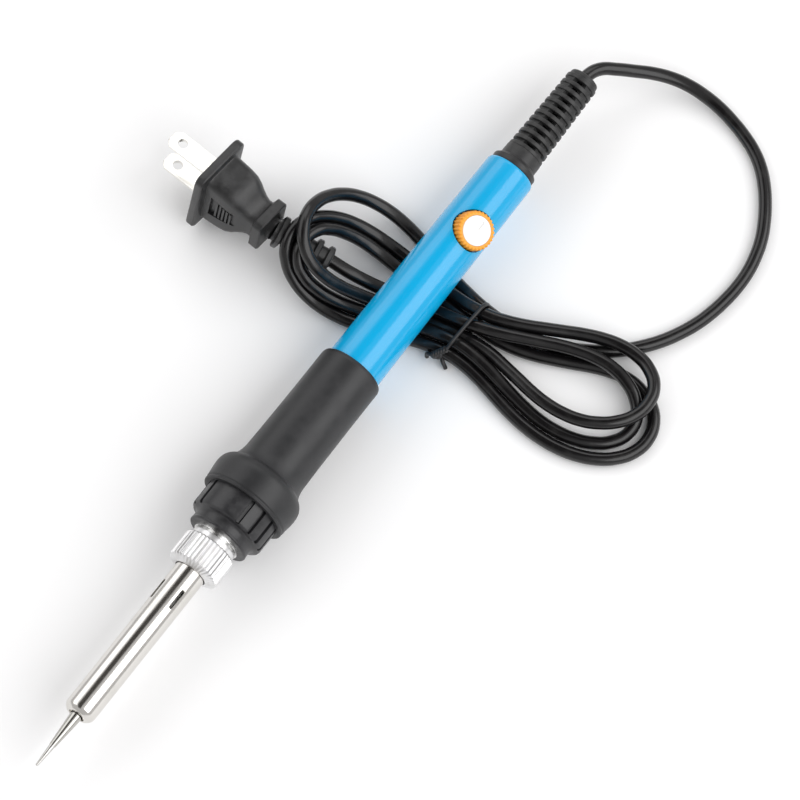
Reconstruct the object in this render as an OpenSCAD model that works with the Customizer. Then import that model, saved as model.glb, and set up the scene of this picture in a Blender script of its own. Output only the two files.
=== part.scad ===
// Pencil soldering iron with a temperature dial, its mains lead and plug.
// The iron lies along Y, tip towards -Y, resting on its collar at z = 0.
// On the iron's own axis, s is the distance from the point of the tip.

/* [Tip] */
// Bare length of the tip in front of the barrel
tip_reach = 19.3; // [12:0.1:30]
// Diameter of the point
tip_point_d = 0.9; // [0.4:0.1:1.4]
// Length of the slim tinned end
tip_tinned_len = 7.6; // [4:0.1:10]
// Diameter behind the tinned end
tip_tinned_d = 1.9; // [1.5:0.1:2.6]
// Diameter where the tip enters the barrel
tip_root_d = 3.9; // [3:0.1:4.6]
// Diameter of the hollow shank inside the barrel
tip_shank_d = 6.5; // [5.8:0.1:7.4]
// Length of the hollow shank
tip_shank_len = 22; // [16:0.5:28]

/* [Barrel] */
// Outside diameter of the barrel
barrel_d = 9.9; // [9.4:0.1:10]
// Length of the barrel in front of the nut
barrel_len = 56.1; // [44:0.1:68]
// Wall of the barrel tube
barrel_wall = 0.5; // [0.4:0.05:0.6]
// Opening at the front of the barrel
barrel_mouth_d = 5.2; // [4.8:0.1:5.6]
// Length of each vent slot
vent_len = 7; // [4:0.5:9]
// Width of each vent slot
vent_w = 1.3; // [0.8:0.1:1.6]
// From the middle of a vent slot to the nut
vent_to_nut = 11.2; // [8:0.1:16]
// How far the first vent slot is rolled from the top
vent_roll = 35; // [0:1:90]

/* [Nut and socket] */
// Diameter over the nut's flutes
nut_d = 16.8; // [15:0.1:18]
// Length of the nut
nut_len = 10.6; // [9:0.1:13]
// Number of flutes round the nut
nut_flutes = 36; // [24:1:48]
// How far the socket's thread stands out past the barrel all round
thread_step = 0.8; // [0.7:0.05:1.2]
// Diameter of the ring behind the nut
ring_d = 15.1; // [12.6:0.1:16]
// Thickness of that ring
ring_t = 0.8; // [0.6:0.1:3]

/* [Nose piece] */
// Diameter over the ribs
nose_d = 24.1; // [22.6:0.1:25]
// Diameter of the plain front ring
nose_front_d = 19.7; // [18:0.1:21]
// Length of the front ring
nose_front_len = 3.7; // [2:0.1:5]
// Length of the ribbed body in front of the grip's collar
nose_rib_len = 8.5; // [6:0.1:12]
// How far the ribbed body runs on under the collar
nose_hidden_len = 6; // [4:0.5:8]
// Ribs in each of the two groups
rib_count = 5; // [3:1:6]

/* [Grip] */
// Diameter of the collar
collar_d = 28.7; // [27.5:0.1:32]
// Length of the collar
collar_len = 13.7; // [11:0.1:17]
// Diameter of the grip behind the collar
grip_front_d = 20.9; // [20:0.1:24]
// Diameter of the grip at its back end
grip_back_d = 20.2; // [19.4:0.1:23]
// Length of the grip behind the collar
grip_len = 40.1; // [30:0.1:50]

/* [Handle] */
// Diameter of the handle where it leaves the grip
handle_front_d = 17.4; // [17:0.1:18.4]
// Diameter of the handle at the cord end
handle_back_d = 15.6; // [15.2:0.1:17]
// Length of the handle behind the grip
handle_len = 77.2; // [66:0.1:100]
// Diameter of the handle's bore
handle_bore_d = 12.4; // [12:0.1:13]

/* [Temperature dial] */
// Diameter of the knob
knob_d = 11.8; // [11:0.1:12.4]
// From the middle of the knob to the cord end of the handle
dial_to_back = 23.5; // [20:0.1:30]
// How far the dial is rolled from the top
dial_roll = 32; // [0:1:60]
// How far the knob stands above the handle
knob_proud = 1.6; // [1:0.1:2.5]
// Width of the knob's rim round the white disc
knob_rim = 1.4; // [1:0.1:2.4]
// Thickness of the white disc
disc_t = 0.9; // [0.6:0.1:1.2]
// Diameter of the potentiometer shaft
shaft_d = 3; // [2.5:0.1:4]

/* [Cord boot] */
// Diameter of the flange against the handle
boot_flange_d = 14.5; // [13:0.1:15]
// Length of the flange
boot_flange_len = 2.7; // [2:0.1:5]
// Diameter of the plain part
boot_base_d = 11.9; // [11:0.1:13]
// Length of the plain part
boot_base_len = 3.7; // [2.5:0.1:8]
// Number of rings
boot_rings = 12; // [8:1:14]
// Distance from ring to ring
boot_pitch = 2.46; // [2.2:0.02:3]
// Thickness of a ring
boot_ring_t = 1.3; // [1:0.05:1.5]
// Diameter of the last ring
boot_end_d = 10.1; // [9:0.1:11]

/* [Mains lead] */
// Diameter of the lead
cord_d = 4; // [3.8:0.1:4]
// Height of the two layers of turns on the surface
hank_h = 8; // [7:0.5:9]

/* [Plug] */
// Width of the plug's front flange, across both blades
plug_w = 26.5; // [25:0.5:30]
// Depth of the flange
plug_depth = 20; // [16:0.5:21]
// Thickness of the flange
plug_flange_t = 3; // [2:0.5:4]
// Length of the plug behind its flange
plug_body_len = 20; // [18:0.5:24]
// Length of the plug's own strain relief
plug_boot_len = 19.8; // [15:0.1:22]
// Exposed length of a blade
blade_len = 15.9; // [15.5:0.1:18]
// Width of a blade
blade_w = 6.35; // [6.1:0.05:6.6]
// Thickness of a blade
blade_t = 1.5; // [1.4:0.1:1.6]
// Distance from blade to blade
blade_gap = 12.7; // [12.4:0.1:13]

/* [Hidden] */
$fn = 64;
eps = 0.01;

// Clearances.
run_gap = 0.05;    // radial, a shaft or thread turning in its bore
slide_gap = 0.1;   // radial, a piece that slides over another
seat_gap = 0.1;    // along the axis, between faces that part when the nut is undone
knob_gap = 0.4;    // radial, round the knob
fit_gap = 0.1;     // between pieces fixed one in another
soft_gap = 0.3;    // between the hank's solid and what it lies against

// Stations along the iron, as distances from the point of the tip.
s_barrel = tip_reach;
s_nut = s_barrel + barrel_len;
s_thread_front = s_nut + 4.2;
s_nut_back = s_nut + nut_len;
s_ring = s_nut_back + 0.7;
s_nose = s_ring + ring_t;
s_ribs = s_nose + nose_front_len;
s_collar = s_ribs + nose_rib_len;
s_grip = s_collar + collar_len;
s_handle = s_grip + grip_len;
s_boot = s_handle + handle_len;
s_dial = s_boot - dial_to_back;
s_boot_rings = s_boot + boot_flange_len + boot_base_len;
boot_rings_len = (boot_rings - 1) * boot_pitch + boot_ring_t;
boot_lip_len = 1.64;
iron_len = s_boot_rings + boot_rings_len + boot_lip_len;
axis_h = collar_d / 2;

// The barrel's flange and the heater behind it.
barrel_bore_d = barrel_d - 2 * barrel_wall;
thread_d = barrel_d + 2 * thread_step;
flare_d = barrel_d + 0.4;
flange_t = 1.1;
flange_d = thread_d - 0.2;
nut_bore_d = thread_d + 2 * run_gap;
s_flange = s_thread_front - seat_gap - flange_t;
heater_d = 3.8;
s_heater = tip_reach + 4.2;
s_heater_back = s_nose + 6;
bush_d = 8;
s_bush = s_thread_front + 2;
bush_len = 13;
socket_tail_d = 10;
socket_tail_len = 9;

// Under the grip: the handle's neck and the nose piece's spigot.
neck_d = handle_front_d - 1;
neck_front = s_collar + nose_hidden_len + 1;
spigot_len = 16;

// The board stands square to the dial's axis, just under the potentiometer.
board_top = -0.9;
board_t = 1.6;
board_w = chord(board_t - board_top);
board_front = s_dial - 37;
board_back = s_dial + 6.3;
pot_top = 3.9;
pot_w = chord(pot_top);
part_w = board_w - 3.1;    // the widest part that stands on the board
core_side = board_w * 0.27;
recess_floor = 4;
disc_d = knob_d - 2 * knob_rim;
handle_r_at_dial = (handle_back_d + (handle_front_d - handle_back_d)
                    * dial_to_back / handle_len) / 2;
knob_top = handle_r_at_dial + knob_proud;
knob_bottom = recess_floor + 0.3;

// The lead inside the handle.
boot_spigot_len = 8;
clamp_len = 4;
s_clamp = s_boot - boot_spigot_len - clamp_len - 0.5;
s_tail = s_clamp - 1.5;
core_d = 1.4;

// The lead's open loop, from the boot to the hank.
y_exit = iron_len / 2;
lead_route = [
    [0, y_exit, axis_h], [0, y_exit + 1.6, axis_h], [1.2, 138.3, 13.7], [4.6, 142.1, 11.7],
    [8.5, 145.4, 9.4], [12.6, 148.6, 7.6], [17.3, 151.2, 6.1], [22.5, 152.8, 4.9],
    [27.9, 153.5, 3.9], [33.4, 153.4, 3.1], [38.8, 152.5, 2.5], [44.2, 151, 2.1], [49.3, 148.9, 2],
    [54.1, 146, 2], [58.2, 142.3, 2], [61.8, 138.1, 2], [65, 133.5, 2], [67.7, 128.7, 2],
    [69.7, 123.5, 2], [71, 118.1, 2], [71.5, 112.6, 2], [71.3, 107, 2], [70.5, 101.5, 2],
    [69.2, 96.1, 2], [67.3, 90.9, 2], [64.7, 86, 2], [61.7, 81.3, 2], [58.1, 77.1, 2]
];

// The hank: two round lobes, drawn in to a waist at the tie.
hank_left = [-21, 50.2];
hank_left_r = 21.7;
hank_right = [62.3, 59.4];
hank_right_r = 19.8;
tie_x = 17;
tie_y = 53;
tie_w = 18;
tie_wire = 1.2;
hank_rise = 21;      // the left turns climb over the plug's boot
hank_low = axis_h - handle_front_d / 2 - soft_gap;

// The plug stands on a narrow edge of its flange.
plug_roll = 10;
plug_pitch = 1;
plug_yaw = -3.4;
plug_x = -68.5;
plug_y = 43.2;
plug_corner = 2.5;
plug_z = ((plug_w - 2 * plug_corner) * cos(plug_roll)
          + (plug_depth - 2 * plug_corner) * sin(plug_roll)) / 2 + plug_corner
         + plug_flange_t * sin(plug_pitch);
boot_dip = 15.2;     // the plug's boot bends down and aside towards the hank
boot_yaw = 10.8;
plug_neck_w = 12.6;
plug_belly_w = 22;
plug_belly_d = 14;
blade_root = 9;

// What fits across the handle's bore at this distance from its axis.
function chord(off) = 2 * sqrt(pow(handle_bore_d / 2 - slide_gap, 2) - pow(off, 2));

// ---------- placing helpers ----------

// Local Z runs along the iron from the point of the tip.
module on_axis(s = 0) {
    translate([0, s - iron_len / 2, axis_h]) rotate([-90, 0, 0]) children();
}

// Inside on_axis: local X points out at this roll from the top.
module rolled(roll) {
    rotate([0, 0, roll - 90]) children();
}

// Local Z points out through the dial, local X towards the cord, origin on the iron's axis.
module at_dial() {
    on_axis(s_dial) rolled(dial_roll) rotate([0, 90, 0]) rotate([0, 0, 180]) children();
}

// Local Z runs out along the blades, local X from blade to blade.
module at_plug() {
    translate([plug_x, plug_y, plug_z]) rotate([0, plug_pitch - 90, plug_yaw])
        rotate([0, 0, plug_roll]) children();
}

// Local Z runs back from the plug's neck along its boot.
module at_plug_boot() {
    back = plug_flange_t + plug_body_len;
    translate([plug_x + back * cos(plug_pitch) * cos(plug_yaw),
               plug_y + back * cos(plug_pitch) * sin(plug_yaw),
               plug_z - back * sin(plug_pitch)])
        rotate([0, 90 + boot_dip, boot_yaw]) children();
}

// ---------- shape helpers ----------

module tube(d_out, d_in, len) {
    difference() {
        cylinder(d = d_out, h = len);
        translate([0, 0, -eps]) cylinder(d = d_in, h = len + 2 * eps);
    }
}

// A turned piece, from [distance, diameter] pairs up the outside.
module turned(steps) {
    last = len(steps) - 1;
    rotate_extrude()
        polygon(concat([[0, steps[0][0]]],
                       [for (p = steps) [p[1] / 2, p[0]]],
                       [[0, steps[last][0]]]));
}

// A straight round wire from one point to another.
module wire(a, b, d) {
    v = b - a;
    flat = norm([v[0], v[1]]);
    translate(a) rotate([0, atan2(flat, v[2]), atan2(v[1], v[0])])
        cylinder(d = d, h = norm(v), $fn = 24);
}

module round_box(w, d, h, r) {
    translate([-w / 2 + r, -d / 2, 0]) cube([w - 2 * r, d, h]);
    translate([-w / 2, -d / 2 + r, 0]) cube([w, d - 2 * r, h]);
    for (x = [-1, 1], y = [-1, 1])
        translate([x * (w / 2 - r), y * (d / 2 - r), 0]) cylinder(r = r, h = h, $fn = 32);
}

// Unit direction of a route at point i.
function unit(v) = v / norm(v);
function heading(route, i) =
    unit(route[min(i + 1, len(route) - 1)] - route[max(i - 1, 0)]);

// One ring of a swept tube: side points round point i, square to the route.
function ring_at(route, i, r, sides) =
    let (t = heading(route, i),
         side = unit(cross(t, [0, 0, 1])),
         up = cross(side, t))
    [for (k = [0 : sides - 1])
        route[i] + r * (cos(360 * k / sides) * side + sin(360 * k / sides) * up)];

module swept(route, d, sides) {
    rings = len(route);
    points = [for (i = [0 : rings - 1]) each ring_at(route, i, d / 2, sides)];
    walls = [for (i = [0 : rings - 2], k = [0 : sides - 1])
        let (a = i * sides + k, b = i * sides + (k + 1) % sides)
        [a, b, b + sides, a + sides]];
    front = [for (k = [sides - 1 : -1 : 0]) k];
    back = [for (k = [0 : sides - 1]) (rings - 1) * sides + k];
    polyhedron(points, concat(walls, [front, back]));
}

// ---------- tip, barrel and nut ----------

module soldering_tip() {
    shoulder = s_barrel + 1;
    collar_t = 1.5;
    bore_front = s_heater - 0.5;
    color("silver") on_axis() difference() {
        union() {
            turned([[0, tip_point_d], [tip_tinned_len, tip_tinned_d], [tip_reach, tip_root_d],
                    [shoulder, tip_root_d], [shoulder, tip_shank_d - 1],
                    [shoulder + 0.5, tip_shank_d], [shoulder + tip_shank_len, tip_shank_d]]);
            translate([0, 0, shoulder + tip_shank_len - collar_t])
                cylinder(d = barrel_bore_d - 2 * slide_gap, h = collar_t);
        }
        translate([0, 0, bore_front])
            cylinder(d = heater_d + 2 * slide_gap, h = shoulder + tip_shank_len);
    }
}

module barrel() {
    lip_t = 1;
    corner = 0.32 * (barrel_d - barrel_mouth_d);
    tube_len = s_flange - s_barrel;
    flare_from = s_nut - 0.4 - s_barrel;
    color("gainsboro") on_axis(s_barrel) difference() {
        turned([[0, barrel_d - 2 * corner], [corner * 0.13, barrel_d - corner * 1.13],
                [corner * 0.43, barrel_d - corner * 0.43], [corner, barrel_d],
                [flare_from, barrel_d], [flare_from + 0.3, flare_d], [tube_len, flare_d],
                [tube_len, flange_d], [tube_len + flange_t, flange_d]]);
        translate([0, 0, -eps]) cylinder(d = barrel_mouth_d, h = lip_t + 1);
        translate([0, 0, lip_t]) cylinder(d = barrel_bore_d, h = tube_len + flange_t);
        for (k = [0 : 3])
            translate([0, 0, barrel_len - vent_to_nut]) rolled(vent_roll + 90 * k)
                translate([0, -vent_w / 2, -vent_len / 2])
                    cube([barrel_d, vent_w, vent_len]);
    }
}

module barrel_nut() {
    flute_r = 0.5;
    fluted = nut_len - 1.9;
    lip_d = thread_d + 2.9;
    lip_len = s_flange - seat_gap - s_nut;
    color("lightgray") on_axis(s_nut) difference() {
        turned([[0, nut_d - 1.6], [0.8, nut_d], [fluted - 0.6, nut_d], [fluted, nut_d - 1.2],
                [fluted, lip_d], [nut_len, lip_d]]);
        translate([0, 0, -eps]) cylinder(d = flare_d + 2 * slide_gap, h = nut_len);
        translate([0, 0, lip_len]) cylinder(d = nut_bore_d, h = nut_len);
        for (k = [0 : nut_flutes - 1])
            rolled(k * 360 / nut_flutes)
                translate([nut_d / 2 + flute_r * 0.3, 0, 0.6])
                    cylinder(r = flute_r, h = nut_len, $fn = 16);
    }
}

// ---------- heater ----------

module heater_socket() {
    core_len = s_ring - s_thread_front;
    color("darkgray") on_axis(s_thread_front) difference() {
        union() {
            cylinder(d = thread_d, h = core_len);
            translate([0, 0, core_len]) cylinder(d = ring_d, h = ring_t);
            translate([0, 0, core_len + ring_t])
                cylinder(d = socket_tail_d, h = socket_tail_len);
        }
        translate([0, 0, -eps]) cylinder(d = heater_d + 1.2, h = s_bush);
        translate([0, 0, s_bush - s_thread_front]) cylinder(d = bush_d + 2 * fit_gap, h = s_bush);
    }
}

module heater_bush() {
    color("ivory") on_axis(s_bush) tube(bush_d, heater_d + 2 * fit_gap, bush_len);
}

module heater_rod() {
    nose_len = 0.8;
    color("white") on_axis() turned([[s_heater, heater_d - 1.2], [s_heater + nose_len, heater_d],
                                     [s_heater_back, heater_d]]);
}

lead_side = 1.3;
lead_d = 0.6;
sleeve_d = 1.8;
s_sleeve_back = board_front + 3;
s_pads_front = board_front + 4;

module heater_leads() {
    color("silver") on_axis() rolled(dial_roll) for (side = [-1, 1])
        translate([0, side * lead_side, s_heater_back])
            cylinder(d = lead_d, h = s_pads_front + 2 - s_heater_back, $fn = 24);
}

module lead_sleeves() {
    front = s_heater_back + 1.5;
    color("beige") on_axis() rolled(dial_roll) for (side = [-1, 1])
        translate([0, side * lead_side, front])
            tube(sleeve_d, lead_d + 2 * run_gap, s_sleeve_back - front, $fn = 32);
}

// ---------- nose piece, grip and handle ----------

module nose_piece() {
    rib_step = 22;
    groove_w = 0.9;
    groove_h = 0.8;
    rib_back = s_collar + nose_hidden_len;
    first = -(rib_count - 1) / 2;
    spigot_d = neck_d - 3.2 - 2 * fit_gap;
    color("dimgray") on_axis() difference() {
        union() {
            turned([[s_nose, nose_front_d - 0.8], [s_nose + 0.5, nose_front_d],
                    [s_ribs - 1, nose_front_d], [s_ribs, nose_d - 1.4],
                    [s_ribs + 0.7, nose_d], [rib_back, nose_d]]);
            translate([0, 0, rib_back]) cylinder(d = spigot_d, h = spigot_len);
        }
        // Two groups of ribs, with a smooth panel between them above and below.
        for (half = [0, 180], k = [0 : rib_count])
            rolled(76 + half + (first - 0.5 + k) * rib_step)
                translate([nose_d / 2 - groove_h, -groove_w / 2, s_ribs + 0.6])
                    cube([2, groove_w, nose_d]);
        translate([0, 0, s_nose - eps])
            cylinder(d = socket_tail_d + 2 * fit_gap, h = socket_tail_len + 0.5);
        translate([0, 0, s_nose + socket_tail_len])
            cylinder(d = bush_d + 1, h = s_handle);
    }
}

module grip_sleeve() {
    rim = s_collar;
    rib_back = s_collar + nose_hidden_len + fit_gap;
    color("darkslategray") on_axis() difference() {
        turned([[rim, collar_d - 2.2], [rim + 0.5, collar_d - 0.9], [rim + 2.4, collar_d - 0.7],
                [rim + 5.6, collar_d], [rim + 8, collar_d], [rim + 9.4, collar_d - 1.1],
                [rim + 10.6, collar_d - 3.2], [s_grip - 1, grip_front_d + 0.9],
                [s_grip, grip_front_d], [s_handle - 1.2, grip_back_d],
                [s_handle - 0.4, grip_back_d - 0.7], [s_handle, grip_back_d - 2]]);
        translate([0, 0, rim - eps]) cylinder(d = nose_d + 2 * fit_gap,
                                             h = rib_back - rim + eps);
        translate([0, 0, rim])
            cylinder(d = neck_d + 2 * run_gap, h = grip_len + collar_len + 1);
    }
}

module handle_tube() {
    inner = neck_d - 3.2;
    color("deepskyblue") on_axis() difference() {
        turned([[neck_front, neck_d], [s_handle, neck_d], [s_handle, handle_front_d],
                [s_boot - 0.6, handle_back_d], [s_boot, handle_back_d - 0.8]]);
        translate([0, 0, neck_front - 1]) cylinder(d = inner, h = s_handle - neck_front);
        translate([0, 0, neck_front + 1]) cylinder(d = handle_bore_d, h = s_boot);
        // The round recess that the knob turns in.
        translate([0, 0, s_dial]) rolled(dial_roll) rotate([0, 90, 0])
            translate([0, 0, recess_floor]) cylinder(d = knob_d + 2 * knob_gap, h = 10);
    }
}

// ---------- temperature dial ----------

module dial_knob() {
    teeth = 30;
    color("orange") at_dial() difference() {
        translate([0, 0, knob_bottom]) turned([[0, knob_d], [knob_top - knob_bottom - 0.5, knob_d],
                                               [knob_top - knob_bottom, knob_d - 0.9]]);
        for (k = [0 : teeth - 1])
            rotate([0, 0, k * 360 / teeth]) translate([knob_d / 2 + 0.15, 0, knob_bottom - 1])
                cylinder(r = 0.4, h = 20, $fn = 16);
        translate([0, 0, knob_top - disc_t]) cylinder(d = disc_d + 2 * fit_gap, h = 5);
        translate([0, 0, knob_bottom - 1]) cylinder(d = shaft_d + 2 * fit_gap, h = 3);
    }
}

module dial_disc() {
    notch_w = 0.9;
    color("white") at_dial() difference() {
        translate([0, 0, knob_top - disc_t]) cylinder(d = disc_d, h = disc_t + 0.1);
        translate([0.5, -notch_w / 2, knob_top - 0.3]) cube([disc_d / 2 - 1, notch_w, 2]);
    }
}

module potentiometer_shaft() {
    color("silver") at_dial()
        translate([0, 0, pot_top - 3]) cylinder(d = shaft_d, h = knob_bottom + 2 - pot_top + 3 - eps);
}

module potentiometer_body() {
    color("midnightblue") at_dial() difference() {
        translate([0, 0, board_top]) round_box(pot_w, pot_w, pot_top - board_top, 0.8);
        translate([0, 0, pot_top - 3 - 0.2]) cylinder(d = shaft_d + 2 * run_gap, h = 5);
    }
}

// ---------- circuit board ----------

// Board frame: local Z is square to the board, local X runs towards the cord.
module circuit_board() {
    color("darkgreen") at_dial()
        translate([board_front - s_dial, -board_w / 2, board_top - board_t])
            cube([board_back - board_front, board_w, board_t]);
}

module triac() {
    color("black") at_dial() translate([-14, -part_w / 2, board_top]) {
        cube([3, part_w, 4.4]);
        translate([3, 0.6, 0]) cube([1, part_w - 1.2, 3.2]);
    }
}

module capacitor() {
    color("firebrick") at_dial() translate([-21, 0, board_top]) round_box(7.2, 6.4, 4.6, 1);
}

// A round body lying across the board, with a bare lead at each end bent down to it.
module axial_part(x, body_d, body_len, leg_y) {
    h = body_d / 2;
    leg_d = 0.6;
    translate([x, 0, board_top + h]) {
        translate([0, -body_len / 2, 0]) rotate([-90, 0, 0])
            cylinder(d = body_d, h = body_len, $fn = 32);
        for (side = [-1, 1]) {
            wire([0, side * (body_len / 2 - 0.2), 0], [0, side * leg_y, 0], leg_d);
            translate([-leg_d / 2, side * leg_y - leg_d / 2, -h]) cube([leg_d, leg_d, h + leg_d / 2]);
        }
    }
}

module resistors() {
    color("tan") at_dial() for (x = [-27, -7.6])
        axial_part(x, 2.3, part_w - 2, part_w / 2 + 0.2);
}

module diac() {
    color("orangered") at_dial() axial_part(-29.6, 1.9, part_w - 3.8, part_w / 2 - 0.6);
}

// Pads on top for the heater leads, and underneath for the mains cores.
module solder_pads() {
    top_h = -lead_d / 2 - board_top;
    color("silver") at_dial() {
        for (side = [-1, 1]) translate([s_pads_front + 1 - s_dial, side * lead_side, board_top])
            cylinder(d = 1.9, h = top_h, $fn = 32);
        for (side = [-1, 1])
            translate([board_back - 2.5 - s_dial, side * core_side, board_top - board_t - 0.3])
                cylinder(d = 2.4, h = 0.3, $fn = 32);
    }
}

module mains_wires() {
    under = board_top - board_t - 0.3 - core_d / 2;
    start = s_tail - s_dial;
    color("saddlebrown") at_dial() for (side = [-1, 1])
        swept([[start, side * 0.9, 0], [start - 1.2, side * 0.9, 0],
               [board_back + 1 - s_dial, side * (core_side - 0.1), under + 0.4],
               [board_back - 0.4 - s_dial, side * core_side, under],
               [board_back - 3.4 - s_dial, side * core_side, under]], core_d, 12);
}

// ---------- lead where it enters the handle ----------

module cord_clamp() {
    color("gray") on_axis(s_clamp) difference() {
        cylinder(d = handle_bore_d - 2 * fit_gap, h = clamp_len);
        translate([0, 0, -eps]) cylinder(d = cord_d + 2 * run_gap, h = clamp_len + 2 * eps);
        translate([0, -0.4, -eps]) cube([handle_bore_d, 0.8, clamp_len + 2 * eps]);
    }
}

module cord_tail() {
    color("black") on_axis(s_tail) cylinder(d = cord_d, h = iron_len - s_tail);
}

module cord_boot() {
    web = 3.2;
    core = cord_d + 2 * run_gap;
    ring_bore = cord_d + 1.8;
    ring_d_at = function (k) boot_base_d - 0.3
                + (boot_end_d - boot_base_d + 0.3) * k / (boot_rings - 1);
    color([0.2, 0.2, 0.2]) {
        on_axis(s_boot - boot_spigot_len)
            tube(handle_bore_d - 2 * fit_gap, core, boot_spigot_len);
        on_axis(s_boot) tube(boot_flange_d, core, boot_flange_len);
        on_axis(s_boot + boot_flange_len) tube(boot_base_d, core, boot_base_len);
        on_axis(s_boot_rings) {
            for (k = [0 : boot_rings - 1])
                translate([0, 0, k * boot_pitch]) tube(ring_d_at(k), ring_bore, boot_ring_t);
            // Four webs join the rings, with open slots between them.
            for (k = [0 : 3]) rolled(dial_roll + 21 + 90 * k)
                translate([ring_bore / 2 - 0.2, -web / 2, 0])
                    cube([(boot_end_d - ring_bore) / 2 - 0.4, web, boot_rings_len]);
        }
        on_axis(s_boot_rings + boot_rings_len) tube(boot_end_d - 0.6, core, boot_lip_len);
    }
}

// ---------- the free lead ----------

module cord_lead() {
    color("black") swept(lead_route, cord_d, 8);
}

module hank_outline() {
    waist = [for (side = [-1, 1]) [tie_x, tie_y + side * (tie_w - cord_d) / 2]];
    for (lobe = [[hank_left, hank_left_r], [hank_right, hank_right_r]]) hull() {
        translate(lobe[0]) circle(r = lobe[1], $fn = 48);
        for (p = waist) translate(p) circle(d = cord_d, $fn = 24);
    }
}

// Low where the handle crosses it, two layers high by the tie and to the right,
// and rising to the left, where the turns lie over the plug's boot.
module cord_hank() {
    x_left = hank_left[0] - hank_left_r - 1;
    x_right = hank_right[0] + hank_right_r + 1;
    under = handle_front_d / 2;
    side_view = [[x_left, 0], [x_left, hank_rise], [x_left + 12, hank_rise], [-under, hank_low],
                 [under, hank_low], [tie_x - 2, hank_h + tie_wire],
                 [tie_x + 2, hank_h + tie_wire], [tie_x + 8, hank_h], [x_right, hank_h],
                 [x_right, 0]];
    color([0.15, 0.15, 0.15]) difference() {
        intersection() {
            linear_extrude(hank_rise + 1) hank_outline();
            translate([0, 120, 0]) rotate([90, 0, 0]) linear_extrude(120) polygon(side_view);
        }
        at_plug_boot() translate([0, 0, -10])
            cylinder(d = plug_neck_w - 0.8, h = plug_boot_len + 10);
    }
}

module cord_tie() {
    z_low = tie_wire / 2;
    z_high = hank_h + tie_wire;
    y_low = tie_y - tie_w / 2;
    y_high = tie_y + tie_w / 2;
    loop = [[tie_x, y_low, z_low], [tie_x, y_high, z_low], [tie_x, y_high, z_high],
            [tie_x, y_low, z_high]];
    color([0.1, 0.1, 0.1]) {
        for (i = [0 : 3]) {
            wire(loop[i], loop[(i + 1) % 4], tie_wire);
            translate(loop[i]) sphere(d = tie_wire, $fn = 24);
        }
        wire([tie_x, y_low, z_high - 3], [tie_x - 3, y_low - 4, z_high - 4], 1.6);
        wire([tie_x - 3, y_low - 4, z_high - 4], [tie_x - 1, y_low - 5, z_high - 6.5], tie_wire);
    }
}

// ---------- plug ----------

module plug_body() {
    back = plug_flange_t + plug_body_len;
    ring_t = 3.2;
    belly = plug_flange_t + 11;
    wide = [[0, -plug_belly_w / 2], [belly, -plug_belly_w / 2 + 1.6],
            [back - ring_t, -plug_neck_w / 2 + 1], [back - ring_t, plug_neck_w / 2 - 1],
            [belly, plug_belly_w / 2 - 1.6], [0, plug_belly_w / 2]];
    deep = [[0, -plug_belly_d / 2], [back, -plug_neck_w / 2 + 0.6],
            [back, plug_neck_w / 2 - 0.6], [0, plug_belly_d / 2]];
    color([0.22, 0.22, 0.22]) at_plug() difference() {
        union() {
            translate([0, 0, -plug_flange_t])
                round_box(plug_w, plug_depth, plug_flange_t, plug_corner);
            intersection() {
                rotate([90, 0, 0]) translate([0, 0, -20]) linear_extrude(40)
                    polygon([for (p = wide) [p[1], -p[0]]]);
                rotate([90, 0, 90]) translate([0, 0, -20]) linear_extrude(40)
                    polygon([for (p = deep) [p[1], -p[0]]]);
            }
            translate([0, 0, -back]) round_box(plug_neck_w, plug_neck_w, ring_t, 2);
        }
        // Finger pads on both wide sides, with five ribs standing in each.
        for (side = [-1, 1]) difference() {
            translate([-5, side * plug_belly_d / 2 - 0.9, -plug_flange_t - 13])
                cube([10, 1.8, 10]);
            for (k = [0 : 4]) translate([-4, side * (plug_belly_d / 2 - 0.9) - 0.6,
                                         -plug_flange_t - 11.8 + k * 1.3])
                cube([8, 1.2, 0.6]);
        }
        for (side = [-1, 1]) translate([side * blade_gap / 2 - blade_t / 2, -blade_w / 2,
                                        -blade_root])
            cube([blade_t, blade_w, blade_root + 1]);
    }
}

module plug_boot() {
    core_w = 6.6;
    bumps = 5;
    pitch = plug_boot_len / bumps;
    root = 1.4;
    color([0.22, 0.22, 0.22]) at_plug()
        translate([0, 0, -plug_flange_t - plug_body_len - root]) cylinder(d = core_w, h = root);
    color([0.22, 0.22, 0.22]) at_plug_boot() {
        translate([0, 0, 1.1]) cylinder(d = core_w, h = plug_boot_len - 1.1);
        for (k = [0 : bumps - 1]) translate([0, 0, (k + 0.5) * pitch])
            rotate([0, 0, 30]) cylinder(d = 10 - 0.4 * k, h = pitch / 2, $fn = 6);
    }
}

module plug_blades() {
    hole_d = 3.2;
    hole_at = 11.7;
    color("lightgray") at_plug() for (side = [-1, 1])
        translate([side * blade_gap / 2 - blade_t / 2, -blade_w / 2, -blade_root]) difference() {
            cube([blade_t, blade_w, blade_root + blade_len]);
            translate([-1, blade_w / 2, blade_root + hole_at]) rotate([0, 90, 0])
                cylinder(d = hole_d, h = 4, $fn = 32);
        }
}

soldering_tip();
barrel();
barrel_nut();
heater_socket();
heater_bush();
heater_rod();
heater_leads();
lead_sleeves();
nose_piece();
grip_sleeve();
handle_tube();
dial_knob();
dial_disc();
potentiometer_shaft();
potentiometer_body();
circuit_board();
triac();
capacitor();
resistors();
diac();
solder_pads();
mains_wires();
cord_clamp();
cord_tail();
cord_boot();
cord_lead();
cord_hank();
cord_tie();
plug_body();
plug_boot();
plug_blades();
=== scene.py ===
import math

import bmesh
import bpy
from mathutils import Matrix, Vector


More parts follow.
